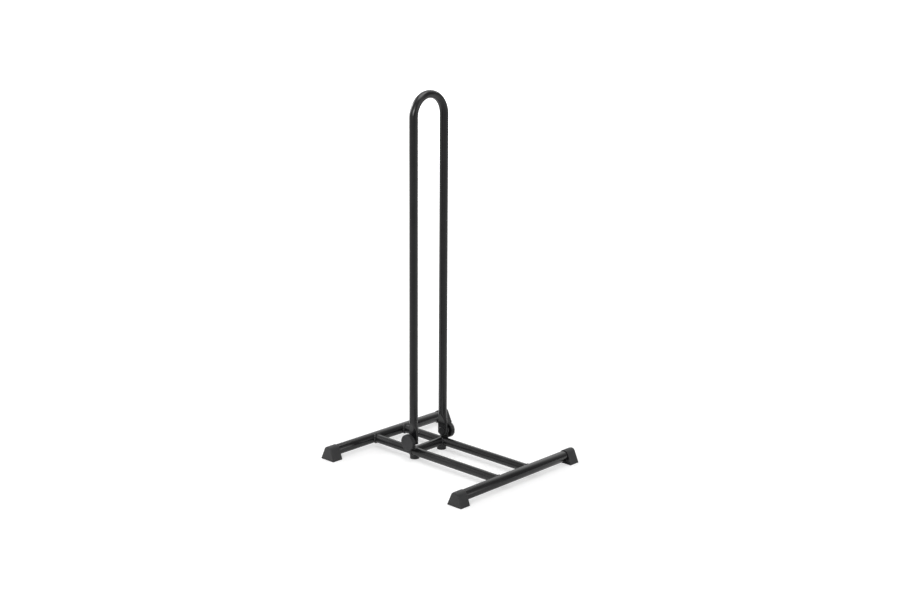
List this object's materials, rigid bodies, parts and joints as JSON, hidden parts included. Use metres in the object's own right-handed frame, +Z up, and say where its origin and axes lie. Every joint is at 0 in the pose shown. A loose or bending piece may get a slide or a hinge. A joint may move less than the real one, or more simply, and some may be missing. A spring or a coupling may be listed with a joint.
{
  "type": "folding bike stand",
  "caption": "Low tubular floor stand with a tall hoop that holds a bicycle wheel upright and folds flat when two side knobs are loosened.",
  "frame": {"origin": "on the floor, under the centre of the bounding box", "axes": "+Z up, +X to the front, which is the longer bay between the hoop and its cross tube, +Y across the wheel slot; the side at -Y is called left"},
  "size_m": [0.3864, 0.3446, 0.7384],
  "materials": {
    "base_coat": "satin black powder coat",
    "hoop_coat": "satin black powder coat",
    "foot_plastic": "matte moulded, dark grey",
    "knob_plastic": "matte moulded, dark grey",
    "black_steel": "black oxide",
    "plain_steel": "zinc plated",
    "washer_nylon": "smooth nylon"
  },
  "bodies": {
    "base": {"front_cross_tube": "base_coat", "rear_cross_tube": "base_coat", "left_front_rail": "base_coat", "left_rear_rail": "base_coat", "right_front_rail": "base_coat", "right_rear_rail": "base_coat", "middle_crossbar": "base_coat", "left_post": "base_coat", "right_post": "base_coat", "left_post_plug": "foot_plastic", "right_post_plug": "foot_plastic", "front_left_foot": "foot_plastic", "front_right_foot": "foot_plastic", "rear_left_foot": "foot_plastic", "rear_right_foot": "foot_plastic"},
    "hoop": {"hoop": "hoop_coat", "left_pivot_bolt": "black_steel", "right_pivot_bolt": "black_steel", "left_friction_washer": "washer_nylon", "right_friction_washer": "washer_nylon"},
    "left_knob_carriage": {"left_knob_washer": "plain_steel"},
    "left_knob": {"left_knob": "knob_plastic", "left_knob_insert": "plain_steel"},
    "right_knob_carriage": {"right_knob_washer": "plain_steel"},
    "right_knob": {"right_knob": "knob_plastic", "right_knob_insert": "plain_steel"}
  },
  "joints": [
    {"name": "hoop_fold", "type": "hinge", "parent": "base", "child": "hoop", "pos_m": [-0.06025, 0, 0.03742], "axis": [0, 1, 0], "range_deg": [-90, 90]},
    {"name": "left_knob_slide", "type": "slide", "parent": "hoop", "child": "left_knob_carriage", "axis": [0, -1, 0], "range_m": [0, 0.0025]},
    {"name": "left_knob_turn", "type": "hinge", "parent": "left_knob_carriage", "child": "left_knob", "pos_m": [-0.06025, -0.042, 0.03742], "axis": [0, -1, 0], "range_deg": [0, 720]},
    {"name": "right_knob_slide", "type": "slide", "parent": "hoop", "child": "right_knob_carriage", "axis": [0, 1, 0], "range_m": [0, 0.0025]},
    {"name": "right_knob_turn", "type": "hinge", "parent": "right_knob_carriage", "child": "right_knob", "pos_m": [-0.06025, 0.042, 0.03742], "axis": [0, 1, 0], "range_deg": [0, 720]}
  ],
  "couplings": [
    {"joint": "left_knob_slide", "follows": "left_knob_turn", "m_per_rad": 0.00019894},
    {"joint": "right_knob_slide", "follows": "right_knob_turn", "m_per_rad": 0.00019894}
  ]
}
